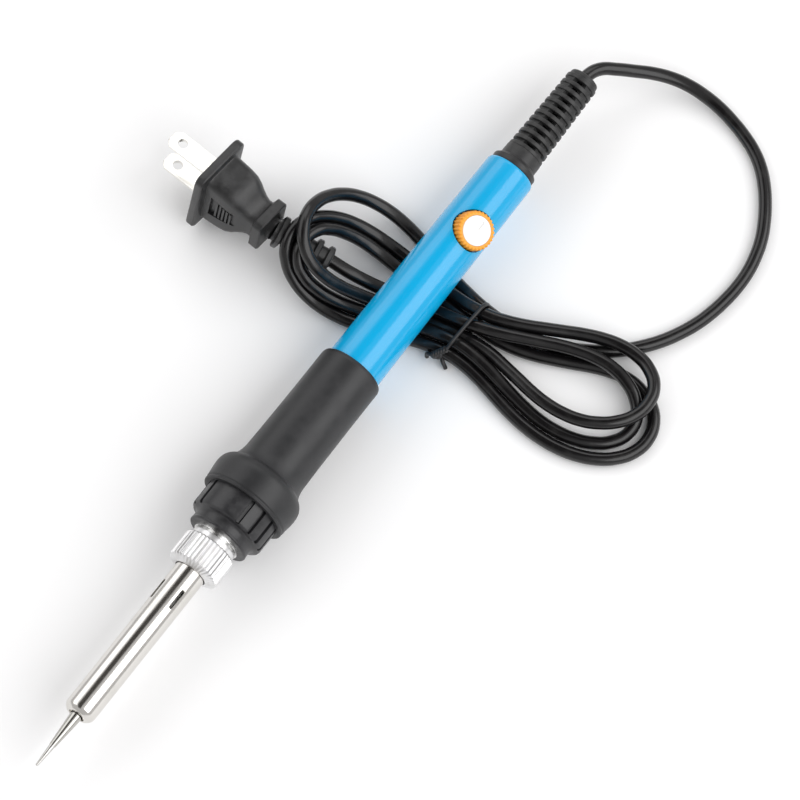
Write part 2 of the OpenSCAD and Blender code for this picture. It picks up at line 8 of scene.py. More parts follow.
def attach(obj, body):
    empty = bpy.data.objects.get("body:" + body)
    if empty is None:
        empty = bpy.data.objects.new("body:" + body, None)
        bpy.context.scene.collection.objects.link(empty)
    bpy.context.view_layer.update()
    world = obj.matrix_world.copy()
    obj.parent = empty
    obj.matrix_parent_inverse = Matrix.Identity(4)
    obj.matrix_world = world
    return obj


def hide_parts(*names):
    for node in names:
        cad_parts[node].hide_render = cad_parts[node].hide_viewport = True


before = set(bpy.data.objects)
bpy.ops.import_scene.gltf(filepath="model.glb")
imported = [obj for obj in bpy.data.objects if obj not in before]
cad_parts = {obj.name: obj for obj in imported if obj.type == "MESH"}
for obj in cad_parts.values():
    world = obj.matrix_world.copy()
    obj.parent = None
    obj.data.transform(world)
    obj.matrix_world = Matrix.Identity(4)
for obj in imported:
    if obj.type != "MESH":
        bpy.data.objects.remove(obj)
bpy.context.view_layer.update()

# ---------- bench, light and camera ----------
# The iron lies on a white bench top between two long soft lamps, with a third behind,
# in a plain bright room. A dark flag hangs between the lamps, and shows only as the dark
# band in what is polished.

bpy.context.scene.view_settings.view_transform = "Standard"
LENS = 1552
CAMERA_BACK = 10
view_right = Vector((0.8039, 0.5948, 0))
view_up = Vector((-0.5515, 0.7453, 0.3746))
view_back = Vector((0.2228, -0.3011, 0.9272))
aim = Vector((0, 0.00145, 0.01435)) + 0.0246 * view_right + 0.0047 * view_up
camera = bpy.data.objects.new("camera", bpy.data.cameras.new("camera"))
camera.data.lens = LENS
camera.data.clip_end = 30
camera.matrix_world = Matrix.Translation(aim + CAMERA_BACK * view_back) @ Matrix(
    (view_right, view_up, view_back)).transposed().to_4x4()
bpy.context.scene.collection.objects.link(camera)
bpy.context.scene.camera = camera

room = bpy.data.worlds.new("room")
bpy.context.scene.world = room
room.use_nodes = True
room.node_tree.nodes["Background"].inputs["Color"].default_value = (1, 0.99, 0.985, 1)
room.node_tree.nodes["Background"].inputs["Strength"].default_value = 0.58


def lamp(name, roll, distance, width, length, along, power):
    """A flat soft lamp over the iron's axis, turned this far round from straight above it."""
    light = bpy.data.lights.new(name, "AREA")
    light.shape = "RECTANGLE"
    light.size = width
    light.size_y = length
    light.energy = power
    turn = math.radians(roll)
    out = Vector((math.sin(turn), 0, math.cos(turn)))
    held = bpy.data.objects.new(name, light)
    held.matrix_world = Matrix.Translation(distance * out + Vector((0, along, 0.014))) @ Matrix(
        (Vector((math.cos(turn), 0, -math.sin(turn))), Vector((0, 1, 0)), out)).transposed().to_4x4()
    bpy.context.scene.collection.objects.link(held)


lamp("lamp_right", 46, 0.8, 0.62, 1.5, 0.25, 6.2)
lamp("lamp_left", -50, 0.8, 0.5, 1.5, 0.05, 2.6)
lamp("lamp_back", -22, 1.0, 0.5, 0.7, 0.95, 1.4)

flag = bpy.data.meshes.new("black_flag")
flag.from_pydata([(-0.45, -1.5, 1), (0.08, -1.5, 1), (0.08, 0.5, 1), (-0.45, 0.5, 1)], [],
                 [(0, 1, 2, 3)])
black_flag = bpy.data.objects.new("black_flag", flag)
black_flag.visible_camera = False
black_flag.visible_diffuse = False
black_flag.visible_shadow = False
bpy.context.scene.collection.objects.link(black_flag)
cloth = bpy.data.materials.new("flag_cloth")
cloth.use_nodes = True
cloth.node_tree.nodes["Principled BSDF"].inputs["Base Color"].default_value = (0.05, 0.045, 0.04, 1)
cloth.node_tree.nodes["Principled BSDF"].inputs["Roughness"].default_value = 0.9
flag.materials.append(cloth)

bench = bpy.data.meshes.new("bench_top")
bench.from_pydata([(-3, -3, 0), (3, -3, 0), (3, 3, 0), (-3, 3, 0)], [], [(0, 1, 2, 3)])
bench_top = bpy.data.objects.new("bench_top", bench)
bpy.context.scene.collection.objects.link(bench_top)
paint = bpy.data.materials.new("bench_white")
paint.use_nodes = True
paint.node_tree.nodes["Principled BSDF"].inputs["Base Color"].default_value = (0.93, 0.93, 0.935, 1)
paint.node_tree.nodes["Principled BSDF"].inputs["Roughness"].default_value = 0.6
bench.materials.append(paint)

# ---------- mains lead ----------
# Round flexible lead, 4 mm across, black PVC with a soft gloss. From the boot it swings
# out in one open loop, then folds into a hank that passes under the handle and over the
# plug's boot, and ends in that boot.


class Socket:
    """An output in a finish's nodes, so that shader maths reads as ordinary sums."""

    def __init__(self, tree, output=None):
        self.tree = tree
        self.output = output

    def node(self, kind, settings={}, sockets={}, out=0):
        """Adds a shader node: its settings first, then the value or link of each socket."""
        made = self.tree.nodes.new("ShaderNode" + kind)
        for key, value in settings.items():
            if key == "stops":
                for spare in list(made.color_ramp.elements)[1:]:
                    made.color_ramp.elements.remove(spare)
                made.color_ramp.elements[0].position = value[0][0]
                made.color_ramp.elements[0].color = value[0][1]
                for place, colour in value[1:]:
                    made.color_ramp.elements.new(place).color = colour
            else:
                setattr(made, key, value)
        for key, value in sockets.items():
            if isinstance(value, Socket):
                self.tree.links.new(value.output, made.inputs[key])
            else:
                made.inputs[key].default_value = value
        return Socket(self.tree, made.outputs[out])

    def maths(self, operation, *values):
        return self.node("Math", {"operation": operation}, dict(enumerate(values)))

    def __add__(self, other):
        return self.maths("ADD", self, other)

    def __radd__(self, other):
        return self.maths("ADD", other, self)

    def __sub__(self, other):
        return self.maths("SUBTRACT", self, other)

    def __rsub__(self, other):
        return self.maths("SUBTRACT", other, self)

    def __mul__(self, other):
        return self.maths("MULTIPLY", self, other)

    def __rmul__(self, other):
        return self.maths("MULTIPLY", other, self)

    def between(self, low, high, start=0.0, end=1.0):
        """This value taken from low..high to start..end, smoothly, and held at the ends."""
        return self.node("MapRange", {"interpolation_type": "SMOOTHSTEP"},
                         {"Value": self, "From Min": low, "From Max": high,
                          "To Min": start, "To Max": end})

    def shade(self, dark, light):
        """The colour this far from dark to light."""
        return self.node("Mix", {"data_type": "RGBA"}, {0: self, 6: (*dark, 1), 7: (*light, 1)},
                         out=2)

    def noise(self, scale, detail=3.0, stretch=None):
        """Fine random marks, scale to the metre, on these coordinates."""
        at = self
        if stretch:
            at = self.node("VectorMath", {"operation": "MULTIPLY"}, {0: self, 1: stretch})
        return self.node("TexNoise", {}, {"Vector": at, "Scale": scale, "Detail": detail})


class Finish:
    """One material: what its surface looks like at each point of the piece."""

    def __init__(self, name):
        self.material = bpy.data.materials.new(name)
        self.material.use_nodes = True
        self.tree = self.material.node_tree
        self.shader = self.tree.nodes["Principled BSDF"]
        self.at = Socket(self.tree).node("TexCoord", out="Object")

    def set(self, **sockets):
        for name, value in sockets.items():
            socket = self.shader.inputs[name.replace("_", " ")]
            if isinstance(value, Socket):
                self.tree.links.new(value.output, socket)
            else:
                socket.default_value = value

    def relief(self, height, depth, strength=1.0):
        """Raises the surface by up to this depth, in metres, where height is 1."""
        bump = self.at.node("Bump", {}, {"Height": height, "Distance": depth,
                                         "Strength": strength})
        self.tree.links.new(bump.output, self.shader.inputs["Normal"])


jacket = Finish("lead_jacket")
scuffs = jacket.at.noise(260, 4).between(0.45, 0.7)
pores = jacket.at.noise(3200, 2)
jacket.set(Base_Color=scuffs.shade((0.005, 0.0045, 0.005), (0.009, 0.0085, 0.0085)),
           Roughness=0.2 + 0.07 * scuffs, Specular_IOR_Level=0.5)
jacket.relief(pores, 0.00002, 0.25)

lead_points = [
    (0, 133.55, 14.35), (0, 134.9, 14.3), (1.5, 138.8, 13.5), (5.1, 142.5, 11.4), (9, 145.8, 9.2),
    (13.3, 149, 7.4), (18.1, 151.5, 5.9), (23.3, 153, 4.7), (28.8, 153.5, 3.7), (34.4, 153.2, 3),
    (39.8, 152.2, 2.4), (45.2, 150.6, 2.1), (50.3, 148.4, 2), (55, 145.3, 2), (59.1, 141.4, 2),
    (62.6, 137.1, 2), (65.7, 132.4, 2), (68.3, 127.4, 2), (70.1, 122.1, 2), (71.2, 116.6, 2),
    (71.5, 111, 2), (71.1, 105.4, 2), (70.2, 99.9, 2), (68.7, 94.5, 2), (66.5, 89.3, 2),
    (63.8, 84.4, 2), (60.5, 79.9, 2), (56.7, 75.7, 2), (52.5, 72.1, 2), (47.8, 68.9, 2),
    (42.9, 66.2, 2.1), (37.8, 64, 2.2), (32.4, 62.4, 2.5), (26.9, 61.5, 2.8), (21.3, 61.4, 3.1),
    (15.7, 61.7, 3.2), (10.1, 62.6, 2.9), (4.7, 63.8, 2.5), (-0.7, 65.4, 2.2), (-6.1, 66.9, 2.1),
    (-11.5, 68.3, 2.3), (-17, 69.2, 3.1), (-22.4, 69.3, 4.6), (-27.5, 68.3, 6.8),
    (-31.8, 66.2, 9.7), (-35.1, 63.1, 12.9), (-37.4, 59.1, 16.1), (-38.4, 54.5, 19.1),
    (-38, 49.4, 21.3), (-35.9, 44.3, 21.9), (-32.4, 40.5, 20), (-28.3, 38.9, 16.6),
    (-24.2, 39.1, 12.8), (-20, 40.3, 9.3), (-15.6, 42.1, 6.4), (-10.8, 44.1, 4.1), (-5.8, 46, 2.7),
    (-0.4, 47.6, 2.1), (5, 48.9, 2.1), (10.5, 50, 2.6), (16, 50.8, 3.2), (21.6, 51.1, 3.8),
    (27.2, 50.9, 4.3), (32.7, 50, 4.7), (38.2, 49, 5.2), (43.7, 48, 5.6), (49.3, 47.5, 5.9),
    (54.9, 47.8, 6.1), (60.4, 49, 6.4), (65.4, 51.4, 6.6), (69.7, 54.9, 6.9), (72.7, 59.6, 7),
    (73.4, 65.1, 6.9), (71.5, 70.3, 6.6), (67.1, 73.8, 6.3), (61.8, 75.2, 6.1), (56.2, 75, 6),
    (50.8, 73.6, 6), (45.6, 71.4, 6.1), (40.6, 68.8, 6.2), (35.7, 66.1, 6.5), (30.8, 63.5, 6.7),
    (25.6, 61.2, 6.9), (20.3, 59.6, 6.7), (14.7, 59, 6), (9.2, 59.2, 4.9), (3.8, 59.8, 3.8),
    (-1.7, 60.5, 2.8), (-7.2, 61.1, 2.2), (-12.8, 61.5, 2.3), (-18.3, 61.4, 3.2),
    (-23.6, 60.7, 5.1), (-28.3, 59.2, 7.7), (-32.2, 56.8, 10.9), (-35.4, 53.5, 14.1),
    (-37.7, 49.3, 17), (-38.9, 44.1, 18.3), (-38.2, 39.2, 16.1), (-35.6, 36.1, 12.2),
    (-31.9, 34.4, 8.4), (-27.3, 33.7, 5.3), (-22.1, 33.8, 3.3), (-16.6, 34.6, 2.3),
    (-11.2, 35.9, 2), (-5.8, 37.6, 2), (-0.5, 39.4, 2.2), (4.8, 41.3, 2.5), (10.1, 42.8, 2.9),
    (15.6, 43.8, 3.2), (21.2, 44, 3.1), (26.8, 43.4, 2.8), (32.3, 42.3, 2.4), (37.7, 41, 2.2),
    (43.2, 39.9, 2), (48.8, 39.2, 2), (54.4, 39.1, 2), (60, 39.7, 2), (65.4, 41.1, 2),
    (70.5, 43.5, 2), (74.9, 47, 2), (78, 51.6, 2), (78.9, 57.1, 2), (77.2, 62.4, 2),
    (73.3, 66.4, 2), (68.2, 68.5, 2), (62.6, 69, 2), (57.1, 67.8, 2), (51.9, 65.8, 2),
    (46.9, 63.4, 2), (41.8, 61, 2.2), (36.6, 58.8, 2.3), (31.3, 57.1, 2.6), (25.8, 56.1, 3),
    (20.2, 55.8, 3.2), (14.6, 55.7, 3.1), (9, 55.9, 2.7), (3.4, 56.1, 2.2), (-2.2, 56.6, 2),
    (-7.8, 57, 2.1), (-13.3, 57.3, 2.8), (-18.7, 57.2, 4.2), (-23.7, 56.4, 6.7), (-28, 54.6, 9.9),
    (-31.4, 51.9, 13.4), (-33.9, 48, 16.5), (-34.8, 42.7, 17.3), (-33.1, 38.1, 14.9),
    (-29.4, 36.2, 11.2), (-25, 36.2, 7.8), (-20.2, 37.2, 5.1), (-15.1, 38.8, 3.4),
    (-9.8, 40.5, 2.5), (-4.5, 42.3, 2.5), (0.8, 44, 3.2), (6.1, 45.6, 4), (11.5, 46.8, 4.8),
    (17, 47.4, 5.3), (22.7, 47.3, 5.2), (28.2, 46.7, 4.7), (33.7, 45.7, 4), (39.1, 44.7, 3.2),
    (44.7, 43.8, 2.6), (50.2, 43.3, 2.2), (55.8, 43.5, 2.1), (61.3, 44.6, 2), (66.5, 46.8, 2),
    (70.8, 50.3, 2), (73.2, 55.2, 2.3), (72.4, 60.6, 3.1), (68.8, 64.7, 4.4), (63.8, 67, 5.5),
    (58.3, 67.9, 6.1), (52.8, 67.5, 6.3), (47.3, 66.1, 6.5), (42.1, 64.2, 6.6), (37, 61.9, 6.7),
    (31.9, 59.5, 7), (26.8, 57.2, 7.2), (21.5, 55.3, 7.1), (16.1, 53.9, 6.6), (10.6, 53, 5.6),
    (5.2, 52.4, 4.4), (-0.3, 51.6, 3.5), (-5.7, 50.3, 3.2), (-11.1, 48.8, 3.7), (-16.4, 47.4, 5.1),
    (-21.5, 46.2, 7), (-26.8, 45.4, 8.8),
]
lead = bpy.data.curves.new("mains_lead", "CURVE")
lead.dimensions = "3D"
lead.bevel_depth = 0.00198
lead.bevel_resolution = 6
lead.resolution_u = 6
run = lead.splines.new("BEZIER")
run.bezier_points.add(len(lead_points) - 1)
for knot, place in zip(run.bezier_points, lead_points):
    knot.co = Vector(place) / 1000
    knot.handle_left_type = "AUTO"
    knot.handle_right_type = "AUTO"
lead.materials.append(jacket.material)
mains_lead = bpy.data.objects.new("mains_lead", lead)
bpy.context.scene.collection.objects.link(mains_lead)
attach(mains_lead, "root")
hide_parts("cord_lead", "cord_hank")
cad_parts["cord_tail"].data.materials.clear()
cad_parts["cord_tail"].data.materials.append(jacket.material)

# ---------- twist tie ----------
# Plastic-coated wire wound once round the hank beside the handle. Its two ends are twisted
# together and bent down over the front of the hank.

coating = Finish("tie_coating")
coating.set(Base_Color=coating.at.noise(900).shade((0.008, 0.008, 0.009), (0.018, 0.018, 0.019)),
            Roughness=0.3 + 0.1 * coating.at.noise(700))
coating.relief(coating.at.noise(2600, 2), 0.00004, 0.5)


def bent_wire(name, routes, thick, finish):
    """Round wires through these points, in millimetres, as one piece."""
    wire = bpy.data.curves.new(name, "CURVE")
    wire.dimensions = "3D"
    wire.bevel_depth = thick / 2000
    wire.bevel_resolution = 4
    wire.resolution_u = 8
    wire.use_fill_caps = True
    for places, closed in routes:
        strand = wire.splines.new("BEZIER")
        strand.bezier_points.add(len(places) - 1)
        strand.use_cyclic_u = closed
        for knot, place in zip(strand.bezier_points, places):
            knot.co = Vector(place) / 1000
            knot.handle_left_type = "AUTO"
            knot.handle_right_type = "AUTO"
    wire.materials.append(finish.material)
    piece = bpy.data.objects.new(name, wire)
    bpy.context.scene.collection.objects.link(piece)
    return piece


def twisted(start, end, turns, spread):
    """Two strands wound round the line from start to end."""
    start = Vector(start)
    along = Vector(end) - start
    side = along.cross(Vector((0, 0, 1))).normalized()
    up = side.cross(along.normalized())
    steps = int(turns * 8)
    return [[start + along * k / steps
             + spread * (math.cos(k * math.pi / 4 + half * math.pi) * side
                         + math.sin(k * math.pi / 4 + half * math.pi) * up)
             for k in range(steps + 1)] for half in (0, 1)]


tie_loop = [(16.6, 44.6, 8.6), (15.9, 43.7, 5), (16.4, 44.6, 2.2), (17, 48, 1.05), (17.2, 58, 1.05),
            (17.4, 61.4, 2.2), (17.6, 62.3, 4.6), (17.4, 60.6, 8.7), (17.2, 56, 9.55),
            (16.9, 50, 9.5)]
tie_routes = [(tie_loop, True)]
tie_routes += [(strand, False) for strand in twisted((16, 43.6, 6.6), (13.6, 40.4, 5), 2.5, 0.55)]
tie_routes += [(strand, False) for strand in twisted((13.6, 40.4, 5), (15.4, 42.4, 3), 1.5, 0.55)]
tie_routes += [([(13.6, 40.4, 5), (11.9, 40.2, 3.8), (12, 39.8, 2.4)], False),
               ([(15.4, 42.4, 3), (16.8, 41.2, 2.4), (17.8, 40.8, 1.4), (18.2, 40.6, 0.8)], False)]
hank_tie = bent_wire("hank_tie", tie_routes, 1.25, coating)
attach(hank_tie, "root")
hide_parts("cord_tie")

# ---------- soldering tip ----------
# Turned copper, plated, with a slim tinned end that solder has run over, and a thin
# hollow shank that slides over the heater.

AXIS_UP = 14.35
TIP_BACK = 133.55


def on_axis(along, radius, roll):
    """A point this far from the point of the tip, rolled this far round from the top."""
    turn = math.radians(roll)
    return Vector((radius * math.sin(turn), along - TIP_BACK, radius * math.cos(turn) + AXIS_UP)) / 1000


def eased(corners, steps=4):
    """An outline through (distance, radius, ease) corners, each rounded off that far back."""
    outline = []
    for k, (along, radius, ease) in enumerate(corners):
        here = Vector((along, radius))
        if not ease or k in (0, len(corners) - 1):
            outline.append(here)
            continue
        before = Vector(corners[k - 1][:2]) - here
        after = Vector(corners[k + 1][:2]) - here
        start = here + before * min(0.49, ease / before.length)
        end = here + after * min(0.49, ease / after.length)
        for n in range(steps + 1):
            t = n / steps
            outline.append((1 - t) ** 2 * start + 2 * t * (1 - t) * here + t * t * end)
    return [(p[0], p[1]) for p in outline]


def turned(outline, rolls=96, shape=None, closed=False, mesh=None):
    """A turned mesh from (distance, radius) pairs; shape can alter the radius round it."""
    mesh = mesh or bmesh.new()
    if isinstance(rolls, int):
        rolls = [360 * k / rolls for k in range(rolls)]
    rings = []
    for along, radius in outline:
        if radius < 0.001:
            rings.append([mesh.verts.new(on_axis(along, 0, 0))])
        else:
            rings.append([mesh.verts.new(
                on_axis(along, shape(along, radius, roll) if shape else radius, roll))
                for roll in rolls])
    pairs = list(zip(rings, rings[1:])) + ([(rings[-1], rings[0])] if closed else [])
    for near, far in pairs:
        for k in range(max(len(near), len(far))):
            n = (k + 1) % max(len(near), len(far))
            if len(near) == 1:
                mesh.faces.new((near[0], far[n], far[k]))
            elif len(far) == 1:
                mesh.faces.new((near[k], near[n], far[0]))
            else:
                mesh.faces.new((near[k], near[n], far[n], far[k]))
    return mesh


def made(name, mesh, finish, body, slot, replaces=(), sharp=32):
    """Makes the piece from its mesh, smooth but for its sharp edges, and puts it on its body."""
    bmesh.ops.recalc_face_normals(mesh, faces=mesh.faces)
    data = bpy.data.meshes.new(name)
    mesh.to_mesh(data)
    mesh.free()
    data.shade_smooth()
    data.set_sharp_from_angle(angle=math.radians(sharp))
    data.materials.append(finish.material)
    piece = bpy.data.objects.new(name, data)
    bpy.context.scene.collection.objects.link(piece)
    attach(piece, body)
    if replaces:
        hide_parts(*replaces)
    return piece


plating = Finish("tip_plating")
distance = plating.at.node("SeparateXYZ", {}, {0: plating.at}, out="Y") + TIP_BACK / 1000
tinned = distance.between(0.0079, 0.0072)
runs = plating.at.noise(900, 4, (1, 0.35, 1))
turning = plating.at.noise(500, 2, (0.2, 9, 0.2))
plating.set(Base_Color=tinned.shade((0.5, 0.49, 0.46), (0.6, 0.59, 0.57)), Metallic=1.0,
            Roughness=0.16 + 0.16 * tinned * runs + 0.05 * turning)
plating.relief(tinned * runs * 0.9 + 0.1 * turning, 0.00012, 0.5)

tip_outline = eased([(0, 0, 0), (0, 0.32, 0.15), (0.35, 0.46, 0.3), (7.5, 0.93, 0.2), (7.7, 1.02, 0.1),
                     (19.3, 1.95, 0), (20.3, 1.95, 0), (20.3, 2.75, 0), (20.8, 3.25, 0.2),
                     (42.3, 3.25, 0), (42.3, 2.05, 0), (23.1, 2.05, 0), (23.1, 0, 0)])
made("iron_tip", turned(tip_outline, 48), plating, "barrel", "tip_plating", ["soldering_tip"])

# ---------- barrel ----------
# Drawn stainless tube, polished, its front rolled in to hold the tip. Four vent slots
# near the nut let the heater breathe, and a flange inside the nut holds it.


def cut(piece, cutters):
    """Takes the cutters' meshes out of the piece."""
    for k, cutter in enumerate(cutters):
        bmesh.ops.recalc_face_normals(cutter, faces=cutter.faces)
        data = bpy.data.meshes.new("cutter")
        cutter.to_mesh(data)
        cutter.free()
        tool = bpy.data.objects.new("cutter", data)
        bpy.context.scene.collection.objects.link(tool)
        trim = piece.modifiers.new("cut", "BOOLEAN")
        trim.object = tool
        trim.solver = "EXACT"
        bpy.context.view_layer.update()
        shaped = bpy.data.meshes.new_from_object(
            piece.evaluated_get(bpy.context.evaluated_depsgraph_get()))
        piece.modifiers.clear()
        old = piece.data
        piece.data = shaped
        shaped.name = old.name
        bpy.data.meshes.remove(old)
        bpy.data.objects.remove(tool)
        bpy.data.meshes.remove(data)
    piece.data.shade_smooth()
    piece.data.set_sharp_from_angle(angle=math.radians(32))


def prism(outline, to_world, depth):
    """A straight block with this flat outline, through depth on both sides of its plane."""
    mesh = bmesh.new()
    low = [mesh.verts.new(to_world(x, y, -depth)) for x, y in outline]
    high = [mesh.verts.new(to_world(x, y, depth)) for x, y in outline]
    mesh.faces.new(low)
    mesh.faces.new(high)
    for k in range(len(outline)):
        n = (k + 1) % len(outline)
        mesh.faces.new((low[k], low[n], high[n], high[k]))
    return mesh


polished = Finish("barrel_steel")
drawn = polished.at.noise(700, 4, (1, 0.02, 1))
smudges = polished.at.noise(90, 3).between(0.5, 0.75)
polished.set(Base_Color=smudges.shade((0.73, 0.71, 0.68), (0.66, 0.645, 0.61)), Metallic=1.0,
             Roughness=0.13 + 0.06 * drawn + 0.05 * smudges)
polished.relief(drawn, 0.00001, 0.3)

barrel_outline = eased([(19.3, 2.6, 0.1), (19.3, 3.5, 0.35), (20.75, 4.95, 1.1), (74.7, 4.95, 0.3),
                        (75.1, 5.15, 0.15), (78.4, 5.15, 0), (78.4, 5.65, 0), (79.5, 5.65, 0),
                        (79.5, 4.45, 0), (21.2, 4.45, 0.3), (20.4, 3.6, 0.2), (20.4, 2.6, 0)])
sleeve = made("barrel_sleeve", turned(barrel_outline, 128, closed=True), polished, "barrel",
              "barrel_steel", ["barrel"])
slot_outline = [(side * (2.85 + 0.65 * math.sin(math.radians(a))),
                 side * 0.65 * math.cos(math.radians(a)))
                for side in (1, -1) for a in range(0, 181, 20)]
cut(sleeve, [prism(slot_outline, lambda x, y, z, roll=35 + 90 * k: on_axis(64.2 + x, 5 + z, roll)
                   + (on_axis(0, y, roll + 90) - on_axis(0, 0, 0)), 1.5) for k in range(4)])

# ---------- nut and socket ----------
# Bright nickel-plated nut with fine axial flutes that screws the barrel down on the
# heater's socket. A thin ring of the socket shows in the gap behind it.

nickel = Finish("nut_nickel")
rub = nickel.at.noise(320, 4).between(0.4, 0.72)
nickel.set(Base_Color=rub.shade((0.84, 0.84, 0.845), (0.74, 0.735, 0.73)), Metallic=1.0,
           Roughness=0.3 + 0.14 * rub)
nickel.relief(nickel.at.noise(1500, 3), 0.00002, 0.3)


NUT_FLUTES = 36
FLUTE_DEPTH = 0.5


def fluted(along, radius, roll):
    """The nut's radius here: whole at its face and its rear collar, fluted between them."""
    if radius < 6.2 or along > 84.2:
        return radius
    depth = FLUTE_DEPTH * (0.5 + 0.5 * math.cos(math.radians(roll * NUT_FLUTES))) ** 1.6
    return radius - depth * min(1, (radius - 6.2) / 0.6)


nut_outline = eased([(74.35, 5.25, 0.1), (74.35, 5.6, 0.15), (75.5, 8.15, 0.5), (75.95, 8.4, 0.3),
                     (83.7, 8.4, 0.3), (84.15, 8.0, 0.15), (84.15, 7.2, 0.1), (86, 7.2, 0.25),
                     (86, 5.8, 0), (78.5, 5.8, 0), (78.5, 5.25, 0)])
nut_mesh = turned(nut_outline, 12 * NUT_FLUTES, fluted, closed=True)
made("barrel_nut_shell", nut_mesh, nickel, "nut", "nut_nickel", ["barrel_nut"], sharp=50)

turned_steel = Finish("socket_steel")
turned_steel.set(Base_Color=(0.83, 0.83, 0.82, 1), Metallic=1.0,
                 Roughness=0.2 + 0.1 * turned_steel.at.noise(600, 3, (1, 5, 1)))
turned_steel.relief(turned_steel.at.noise(900, 2, (0.2, 8, 0.2)), 0.00002, 0.4)
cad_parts["heater_socket"].data.materials.clear()
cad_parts["heater_socket"].data.materials.append(turned_steel.material)

# ---------- heater ----------
# White alumina rod in an alumina bush, its two tinned leads in glass-fibre sleeves as far
# as the board's pads.


def dressed(names, finish):
    """Gives solids that keep their own shape this material."""
    for name in names:
        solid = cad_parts[name].data
        solid.materials.clear()
        solid.materials.append(finish.material)


ceramic = Finish("ceramic_white")
ceramic.set(Base_Color=ceramic.at.noise(700, 4).shade((0.86, 0.85, 0.81), (0.93, 0.92, 0.89)),
            Roughness=0.5 + 0.15 * ceramic.at.noise(1500))
ceramic.relief(ceramic.at.noise(2500, 3), 0.00003, 0.5)
dressed(["heater_bush", "heater_rod"], ceramic)

tinned_wire = Finish("lead_wire")
tinned_wire.set(Base_Color=tinned_wire.at.noise(1200).shade((0.62, 0.62, 0.62), (0.85, 0.85, 0.84)),
                Metallic=1.0, Roughness=0.25 + 0.2 * tinned_wire.at.noise(2200))
dressed(["heater_leads"], tinned_wire)

braid = Finish("glass_fibre")
weave = braid.at.node("TexWave", {"bands_direction": "DIAGONAL"},
                      {"Vector": braid.at, "Scale": 900, "Distortion": 2}, out=1)
braid.set(Base_Color=weave.shade((0.72, 0.68, 0.55), (0.9, 0.87, 0.76)), Roughness=0.75)
braid.relief(weave, 0.00008, 0.7)
dressed(["lead_sleeves"], braid)

# ---------- nose piece ----------
# Black glass-filled plastic: a plain front ring, a step, then two groups of five ribs with
# a smooth panel between them. It is fixed in the handle's neck and carries the socket.

glass_filled = Finish("nose_black")
cloud = glass_filled.at.noise(420, 4).between(0.4, 0.7)
glass_filled.set(Base_Color=cloud.shade((0.017, 0.017, 0.019), (0.027, 0.027, 0.029)),
                 Roughness=0.32 + 0.12 * cloud)
glass_filled.relief(glass_filled.at.noise(2300, 3), 0.00004, 0.45)

RIB_ROLL = 76
RIB_STEP = 22
GROOVE_HALF = 3.2
GROOVE_SLOPE = 0.9
GROOVE_DEPTH = 1.1


def edged(centres, half, bevel, spare):
    """Rolls all round: four to a groove, where its edges start and end, and some between."""
    rolls = set()
    for centre in centres:
        for off in (-half, -half + bevel, half - bevel, half):
            rolls.add(round((centre + off) % 360, 3))
    marks = sorted(rolls)
    for low, high in zip(marks, marks[1:] + [marks[0] + 360]):
        count = int((high - low) / spare)
        for k in range(1, count + 1):
            rolls.add(round((low + (high - low) * k / (count + 1)) % 360, 3))
    return sorted(rolls)


grooves = [RIB_ROLL + half + (k - 2.5) * RIB_STEP for half in (0, 180) for k in range(6)]


def ribbed(along, radius, roll):
    """The nose piece's radius here: cut back in each groove, behind its front ring."""
    if radius < 10.9 or along < 91.6:
        return radius
    near = min(abs((roll - groove + 180) % 360 - 180) for groove in grooves)
    depth = min(1, max(0, (GROOVE_HALF - near) / GROOVE_SLOPE))
    return radius - GROOVE_DEPTH * depth * min(1, (radius - 10.9) / 0.5)


nose_outline = eased([(106.2, 9, 0), (106.2, 12.05, 0), (92.0, 12.05, 0.6), (91.5, 11.5, 0.3),
                      (91.1, 10.35, 0.3), (90.2, 9.75, 0.5), (88.4, 9.75, 0.3), (88.1, 9.9, 0.1),
                      (87.6, 9.8, 0.2), (87.5, 9.3, 0.1), (87.5, 5.1, 0), (97, 5.1, 0), (97, 4.5, 0),
                      (122, 4.5, 0), (122, 6.5, 0.3), (106.2, 6.5, 0)])
nose_rolls = edged(grooves, GROOVE_HALF, GROOVE_SLOPE, 3)
made("nose_shell", turned(nose_outline, nose_rolls, ribbed, closed=True), glass_filled,
     "root", "nose_black", ["nose_piece"], sharp=40)

# ---------- grip ----------
# One sleeve moulded in soft black rubber: a wide collar that keeps the fingers off the hot
# end and that the iron rests on, then a slightly waisted grip. It is pushed over the neck.

rubber = Finish("grip_rubber")
handled = rubber.at.noise(140, 4).between(0.42, 0.72)
rubber.set(Base_Color=handled.shade((0.018, 0.0185, 0.02), (0.026, 0.026, 0.028)),
           Roughness=0.4 + 0.12 * handled, Specular_IOR_Level=0.45)
rubber.relief(rubber.at.noise(3600, 2), 0.00003, 0.4)

grip_outline = eased([(99.7, 12.1, 0), (99.7, 13.45, 0.1), (99.85, 13.75, 0.1), (100.2, 13.85, 0.1),
                      (100.35, 13.55, 0.15), (100.8, 13.6, 0.15), (101.1, 13.9, 0.15),
                      (102.1, 13.95, 0.4), (104.6, 14.28, 1), (107.0, 14.35, 1.2),
                      (108.7, 13.95, 0.9), (110.1, 12.95, 0.9), (110.9, 11.75, 0.8), (112.2, 11.1, 0.9),
                      (114.5, 10.5, 1.2), (124, 10.28, 4), (140, 10.12, 4), (152.2, 10.1, 0.5),
                      (153.0, 9.8, 0.35), (153.5, 9.15, 0.25), (153.5, 8.25, 0), (105.8, 8.25, 0),
                      (105.8, 12.1, 0)])
made("grip_cover", turned(grip_outline, 128, closed=True), rubber, "root", "grip_rubber",
     ["grip_sleeve"], sharp=38)

# ---------- handle ----------
# Light blue moulded tube with a smooth gloss and very faint sink marks, tapering to the
# lead's end, with a round recess for the dial.

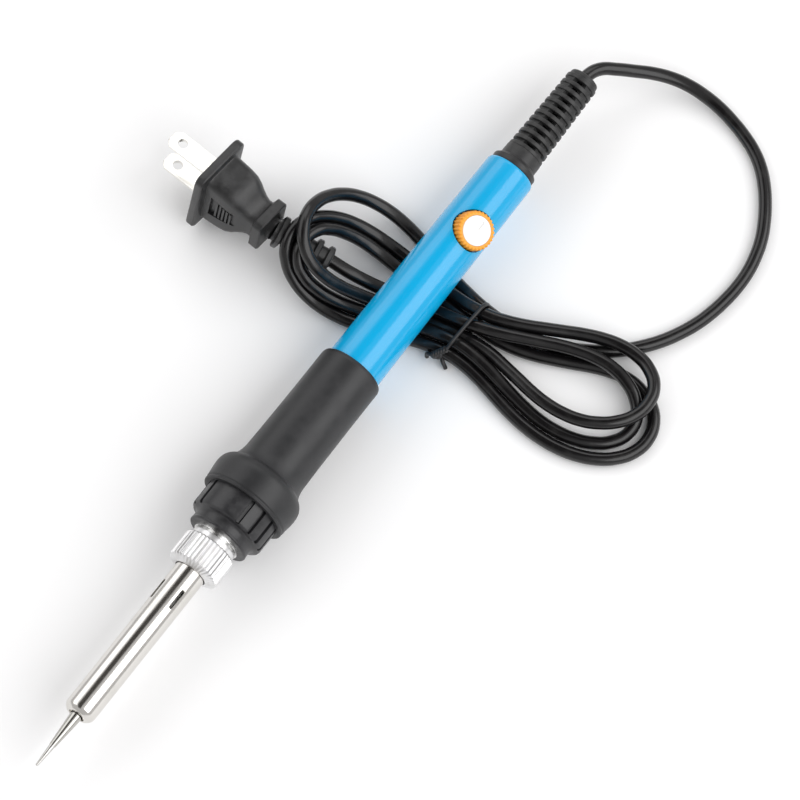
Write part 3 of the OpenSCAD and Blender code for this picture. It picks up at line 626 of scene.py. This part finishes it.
blue = Finish("handle_blue")
mist = blue.at.noise(60, 3)
wear = blue.at.noise(900, 5).between(0.62, 0.78)
blue.set(Base_Color=mist.shade((0.0, 0.36, 0.68), (0.0, 0.395, 0.73)),
         Roughness=0.19 + 0.1 * wear, Coat_Weight=0.25 + 0.2 * mist, Coat_Roughness=0.12)
blue.relief(blue.at.noise(170, 2), 0.00006, 0.5)

handle_outline = eased([(106.8, 6.6, 0), (106.8, 8.2, 0.2), (153.55, 8.2, 0), (153.55, 8.7, 0),
                        (229.9, 7.83, 0.3), (230.5, 7.6, 0.25), (230.7, 7.2, 0.15), (230.7, 6.2, 0),
                        (107.7, 6.2, 0), (107.7, 6.6, 0)])
handle = made("handle_shell", turned(handle_outline, 128, closed=True), blue, "root",
              "handle_blue", ["handle_tube"])

DIAL_AT = 207.2
DIAL_ROLL = 32


def at_dial(along, side, out):
    """A point by the dial: towards the lead, across, and out from the iron's axis."""
    turn = math.radians(DIAL_ROLL)
    base = on_axis(DIAL_AT + along, out, DIAL_ROLL)
    return base + side / 1000 * Vector((-math.cos(turn), 0, math.sin(turn)))


def dial_lathe(outline, count, shape=None, closed=False):
    """A turned mesh about the dial's axis, from (height, radius) pairs."""
    mesh = bmesh.new()
    rings = []
    for out, radius in outline:
        ring = []
        for k in range(count if radius > 0.001 else 1):
            turn = 2 * math.pi * k / count
            reach = shape(out, radius, turn) if shape else radius
            ring.append(mesh.verts.new(
                at_dial(reach * math.cos(turn), reach * math.sin(turn), out)))
        rings.append(ring)
    for near, far in list(zip(rings, rings[1:])) + ([(rings[-1], rings[0])] if closed else []):
        for k in range(count):
            n = (k + 1) % count
            if len(near) == 1:
                mesh.faces.new((near[0], far[n], far[k]))
            elif len(far) == 1:
                mesh.faces.new((near[k], near[n], far[0]))
            else:
                mesh.faces.new((near[k], near[n], far[n], far[k]))
    return mesh


cut(handle, [dial_lathe([(4, 0), (4, 6.3), (12, 6.3), (12, 0)], 96)])

# ---------- temperature dial ----------
# Orange knob with a finely toothed edge and a white disc let into its face, pressed on the
# shaft of a small potentiometer that stands on the board inside the handle.

orange = Finish("knob_orange")
orange.set(Base_Color=orange.at.noise(500, 3).shade((0.86, 0.33, 0.02), (0.93, 0.40, 0.035)),
           Roughness=0.34 + 0.1 * orange.at.noise(900))
orange.relief(orange.at.noise(2600), 0.00003, 0.4)


KNOB_TEETH = 30
TOOTH_DEPTH = 0.38


def toothed(out, radius, turn):
    """The knob's radius here: fine teeth round its edge, none on its face."""
    if radius < 5.3:
        return radius
    return radius - TOOTH_DEPTH * (0.5 + 0.5 * math.cos(KNOB_TEETH * turn)) ** 1.5


knob_outline = [(4.3, 1.6), (4.3, 5.7), (4.5, 5.9), (9.1, 5.9), (9.45, 5.72), (9.62, 5.4),
                (9.674, 5.0), (9.674, 4.62), (9.6, 4.56), (8.77, 4.56), (8.77, 1.6)]
made("knob_ring", dial_lathe(knob_outline, 8 * KNOB_TEETH, toothed, closed=True), orange, "dial",
     "knob_orange", ["dial_knob"], sharp=40)

white = Finish("disc_white")
white.set(Base_Color=white.at.noise(400, 3).shade((0.8, 0.8, 0.79), (0.87, 0.87, 0.86)),
          Roughness=0.42 + 0.1 * white.at.noise(900))
white.relief(white.at.noise(2600), 0.00002, 0.4)
disc_outline = [(8.8, 0), (8.8, 4.45), (9.62, 4.5), (9.7, 4.42), (9.72, 4.2), (9.72, 3.6),
                (9.66, 3.45), (9.66, 0)]
disc = made("dial_face", dial_lathe(disc_outline, 96), white, "dial", "disc_white", ["dial_disc"])
cut(disc, [prism([(0.6, -0.32), (3.1, -0.32), (3.4, 0), (3.1, 0.32), (0.6, 0.32)],
                 lambda x, y, z: at_dial(x, y, 9.9 + z), 0.5)])

bright_shaft = Finish("shaft_steel")
bright_shaft.set(Base_Color=(0.8, 0.8, 0.79, 1), Metallic=1.0,
                 Roughness=0.22 + 0.15 * bright_shaft.at.noise(1200, 3))
bright_shaft.relief(bright_shaft.at.noise(1500), 0.00002, 0.3)
dressed(["potentiometer_shaft"], bright_shaft)

# ---------- board and what stands on it ----------
# Green lacquered board along the inside of the handle, with the potentiometer, a triac, a
# film capacitor, resistors and a diac soldered to it, and the mains cores on its underside.


def plastic(name, dark, light, rough, scale=900):
    """A plain moulded or dipped part: two close tones, an even gloss, a fine grain."""
    finish = Finish(name)
    tone = finish.at.noise(scale, 3)
    finish.set(Base_Color=tone.between(0.35, 0.65).shade(dark, light), Roughness=rough + 0.12 * tone)
    finish.relief(finish.at.noise(3 * scale, 2), 0.00003, 0.4)
    return finish


dressed(["potentiometer_body"], plastic("pot_blue", (0.01, 0.05, 0.2), (0.015, 0.08, 0.28), 0.35))
dressed(["triac"], plastic("part_black", (0.012, 0.012, 0.013), (0.03, 0.03, 0.032), 0.45))
dressed(["capacitor"], plastic("film_red", (0.4, 0.03, 0.015), (0.5, 0.05, 0.02), 0.25))
dressed(["resistors"], plastic("resistor_tan", (0.6, 0.43, 0.25), (0.7, 0.52, 0.32), 0.4))
dressed(["diac"], plastic("diac_glass", (0.45, 0.12, 0.03), (0.6, 0.2, 0.06), 0.15))
dressed(["mains_wires"], plastic("core_brown", (0.16, 0.05, 0.015), (0.22, 0.075, 0.025), 0.4))
dressed(["cord_clamp"], plastic("clamp_grey", (0.2, 0.2, 0.2), (0.28, 0.28, 0.28), 0.45))

lacquer = Finish("board_green")
fibres = lacquer.at.noise(1600, 2, (1, 8, 1))
lacquer.set(Base_Color=fibres.shade((0.01, 0.11, 0.04), (0.02, 0.17, 0.07)),
            Roughness=0.22 + 0.15 * fibres)
lacquer.relief(fibres, 0.00003, 0.5)
dressed(["circuit_board"], lacquer)

solder = Finish("solder")
solder.set(Base_Color=solder.at.noise(1500).shade((0.55, 0.55, 0.56), (0.78, 0.78, 0.77)),
           Metallic=1.0, Roughness=0.28 + 0.2 * solder.at.noise(2500))
solder.relief(solder.at.noise(1800, 3), 0.00005, 0.6)
dressed(["solder_pads"], solder)

# ---------- strain relief ----------
# Soft black moulding pushed into the end of the handle: a flange, a plain part, then
# twelve thin rings joined by four webs, so that it bends with the lead.

soft_black = Finish("boot_black")
dust = soft_black.at.noise(520, 4).between(0.45, 0.75)
soft_black.set(Base_Color=dust.shade((0.017, 0.017, 0.0175), (0.032, 0.032, 0.032)),
               Roughness=0.42 + 0.14 * dust)
soft_black.relief(soft_black.at.noise(2400, 3), 0.00004, 0.5)

BOX_SIDES = ((0, 1, 2, 3), (4, 5, 6, 7), (0, 1, 5, 4), (1, 2, 6, 5), (2, 3, 7, 6), (3, 0, 4, 7))
relief = turned(eased([(222.7, 2.1, 0), (222.7, 6.1, 0.2), (230.7, 6.1, 0), (230.7, 6.95, 0.15),
                       (231.1, 7.2, 0.15), (232.6, 7.2, 0.3), (232.9, 6.7, 0.15), (233.4, 6.35, 0.2),
                       (233.6, 5.95, 0.15), (237.1, 5.9, 0.25), (237.15, 4.7, 0), (237.15, 2.1, 0)]),
                72, closed=True)
RINGS = 12
RING_FROM = 237.75
RING_PITCH = 2.46
for k in range(RINGS):
    centre = RING_FROM + RING_PITCH * k
    reach = 5.8 - 0.75 * k / (RINGS - 1)
    turned(eased([(centre - 0.65, 2.9, 0), (centre - 0.65, reach, 0.25),
                  (centre + 0.65, reach, 0.25), (centre + 0.65, 2.9, 0)]), 72, closed=True,
           mesh=relief)
turned(eased([(265.3, 2.1, 0), (265.3, 4.7, 0.25), (267.1, 4.55, 0.6), (267.1, 2.1, 0)]), 72,
       closed=True, mesh=relief)
WEB_TURN = 21
for k in range(4):
    roll = DIAL_ROLL + WEB_TURN + 90 * k
    corners = []
    for along in (237, 265.4):
        for out, side in ((2.75, -1.6), (2.75, 1.6), (4.62, 1.6), (4.62, -1.6)):
            across = on_axis(0, side, roll + 90) - on_axis(0, 0, 0)
            corners.append(relief.verts.new(on_axis(along, out, roll) + across))
    for quad in BOX_SIDES:
        relief.faces.new([corners[n] for n in quad])
made("boot_sleeve", relief, soft_black, "root", "boot_black", ["cord_boot"])

# ---------- plug ----------
# Two-blade plug moulded on the lead in black PVC: a rounded flange, shoulders that draw in to
# a square collar, a ribbed finger pad in each wide side and a stepped strain relief.

moulded = Finish("plug_black")
flow = moulded.at.noise(260, 4).between(0.42, 0.72)
moulded.set(Base_Color=flow.shade((0.018, 0.018, 0.0185), (0.036, 0.036, 0.037)),
            Roughness=0.34 + 0.14 * flow)
moulded.relief(moulded.at.noise(2600, 3), 0.00004, 0.5)

PLUG_ROLL = 10
PLUG_PITCH = 1
PLUG_YAW = -3.4
plug_frame = (Matrix.Translation((-0.0685, 0.0432, 0.014442))
              @ Matrix.Rotation(math.radians(PLUG_YAW), 4, "Z")
              @ Matrix.Rotation(math.radians(PLUG_PITCH - 90), 4, "Y")
              @ Matrix.Rotation(math.radians(PLUG_ROLL), 4, "Z"))


def at_plug(x, y, z):
    """A point of the plug: across both blades, across their flat, and out along them."""
    return plug_frame @ (Vector((x, y, z)) / 1000)


def rounded(width, depth, round_off, steps=6):
    """A rectangle with round corners, as an outline."""
    outline = []
    for k, (sx, sy) in enumerate(((1, 1), (-1, 1), (-1, -1), (1, -1))):
        for n in range(steps + 1):
            turn = math.pi / 2 * (k + n / steps)
            outline.append((sx * (width / 2 - round_off) + round_off * math.cos(turn),
                            sy * (depth / 2 - round_off) + round_off * math.sin(turn)))
    return outline


def lofted(sections, mesh=None, place=at_plug, steps=6):
    """A closed skin over (z, width, depth, corner) sections of the plug."""
    mesh = mesh or bmesh.new()
    rings = [[mesh.verts.new(place(x, y, z)) for x, y in rounded(width, depth, corner, steps)]
             for z, width, depth, corner in sections]
    for near, far in zip(rings, rings[1:]):
        for k in range(len(near)):
            n = (k + 1) % len(near)
            mesh.faces.new((near[k], near[n], far[n], far[k]))
    mesh.faces.new(rings[0])
    mesh.faces.new(rings[-1])
    return mesh


body = lofted([(0, 24.9, 18.4, 2.0), (-0.25, 26.1, 19.6, 2.4), (-0.6, 26.5, 20, 2.5),
               (-2.4, 26.5, 20, 2.5), (-2.75, 26, 19.5, 2.4), (-3, 24.6, 18.1, 2.2),
               (-3.02, 21.9, 14, 2.6), (-3.4, 21.5, 13.9, 2.8), (-6, 21.3, 13.8, 3),
               (-9, 21, 13.6, 3.2), (-11.5, 20.2, 13.2, 3.4), (-13.3, 18.4, 12.4, 3.6),
               (-15, 15.4, 11.2, 3.4), (-16.6, 12.8, 10.3, 3.2), (-18, 11.2, 9.9, 3),
               (-19.2, 10.7, 10.1, 2.8), (-19.7, 11.4, 11.4, 1.9), (-20, 12.6, 12.6, 1.9),
               (-22.6, 12.6, 12.6, 1.7), (-22.9, 12.1, 12.1, 1.6), (-23, 11, 11, 1.6)])
plug_shell = made("plug_shell", body, moulded, "root", "plug_black", ["plug_body"], sharp=40)
for side in (1, -1):
    pad = prism([(-5, -2.6), (4.4, -4.6), (4.4, 4.6), (-5, 2.6)],
                lambda x, y, z: at_plug(y, side * (7.0 + z), -9.5 + x), 1.1)
    cut(plug_shell, [pad])
for side in (1, -1):
    for k in range(5):
        z = -7.4 - 1.25 * k
        rib = bmesh.new()
        reach = 3.7 - 0.27 * k
        corners = [rib.verts.new(at_plug(x, side * y, z + dz))
                   for dz in (-0.32, 0.32)
                   for x, y in ((-reach, 6), (reach, 6), (reach, 6.72), (-reach, 6.72))]
        for quad in BOX_SIDES:
            rib.faces.new([corners[n] for n in quad])
        made(f"plug_rib_{'a' if side > 0 else 'b'}{k + 1}", rib, moulded,
                                "root", "plug_black")

BOOT_DIP = 15.2
BOOT_YAW = 10.8
boot_frame = (Matrix.Translation(at_plug(0, 0, -23))
              @ Matrix.Rotation(math.radians(BOOT_YAW), 4, "Z")
              @ Matrix.Rotation(math.radians(90 + BOOT_DIP), 4, "Y")
              @ Matrix.Rotation(math.radians(PLUG_ROLL), 4, "Z"))


def at_boot(x, y, z):
    """A point of the strain relief, which bends away from the plug: z runs back along it."""
    return boot_frame @ (Vector((x, y, z)) / 1000)


relief = lofted([(-22.9, 6.6, 6.6, 3.2), (-24.3, 6.6, 6.6, 3.2)])
lofted([(1.1, 6.6, 6.6, 3.2), (19.8, 5.4, 5.4, 2.6)], mesh=relief, place=at_boot)
for k in range(5):
    near = 2.1 + 3.9 * k
    width = 9.2 - 0.5 * k
    lofted([(near, width - 0.7, width - 0.7, 1.6), (near + 0.3, width, width, 1.8),
            (near + 1.5, width, width, 1.8), (near + 1.8, width - 0.7, width - 0.7, 1.6)],
           mesh=relief, place=at_boot, steps=2)
made("plug_relief", relief, moulded, "root", "plug_black", ["plug_boot"],
                        sharp=40)

# ---------- blades ----------
# Two flat blades stamped from brass strip and nickel-plated, with tapered corners and a
# hole near the end. Their roots are moulded into the plug.

blade_metal = Finish("blade_nickel")
scraped = blade_metal.at.noise(380, 5, (0.15, 1, 1)).between(0.5, 0.75)
blade_metal.set(Base_Color=scraped.shade((0.93, 0.92, 0.88), (0.85, 0.83, 0.78)), Metallic=1.0,
                Roughness=0.26 + 0.18 * scraped)
blade_metal.relief(blade_metal.at.noise(1500, 3, (0.2, 1, 1)), 0.00003, 0.4)
BLADE_OFF = 6.35
BLADE_LONG = 15.9
BLADE_HALF = 3.175
for side, name in ((1, "upper"), (-1, "lower")):
    blade = bmesh.new()
    skins = []
    for x, trim in ((-0.75, 0.25), (-0.5, 0), (0.5, 0), (0.75, 0.25)):
        half = BLADE_HALF - trim
        tip = BLADE_LONG - trim
        skins.append([blade.verts.new(at_plug(side * BLADE_OFF + x, y, z)) for y, z in
                      ((-half, -8), (-half, tip - 1.6), (-half + 1.4, tip - 0.1),
                       (-half + 1.7, tip), (half - 1.7, tip), (half - 1.4, tip - 0.1),
                       (half, tip - 1.6), (half, -8))])
    for near, far in zip(skins, skins[1:]):
        for k in range(8):
            blade.faces.new((near[k], near[(k + 1) % 8], far[(k + 1) % 8], far[k]))
    blade.faces.new(skins[0])
    blade.faces.new(skins[-1])
    piece = made(f"blade_{name}", blade, blade_metal, "root", "blade_nickel",
                 ["plug_blades"] if side > 0 else [])
    hole = [(1.6 * math.cos(math.pi * k / 16), 1.6 * math.sin(math.pi * k / 16)) for k in range(32)]
    cut(piece, [prism(hole, lambda a, b, c: at_plug(side * BLADE_OFF + c, a, 11.7 + b), 2)])
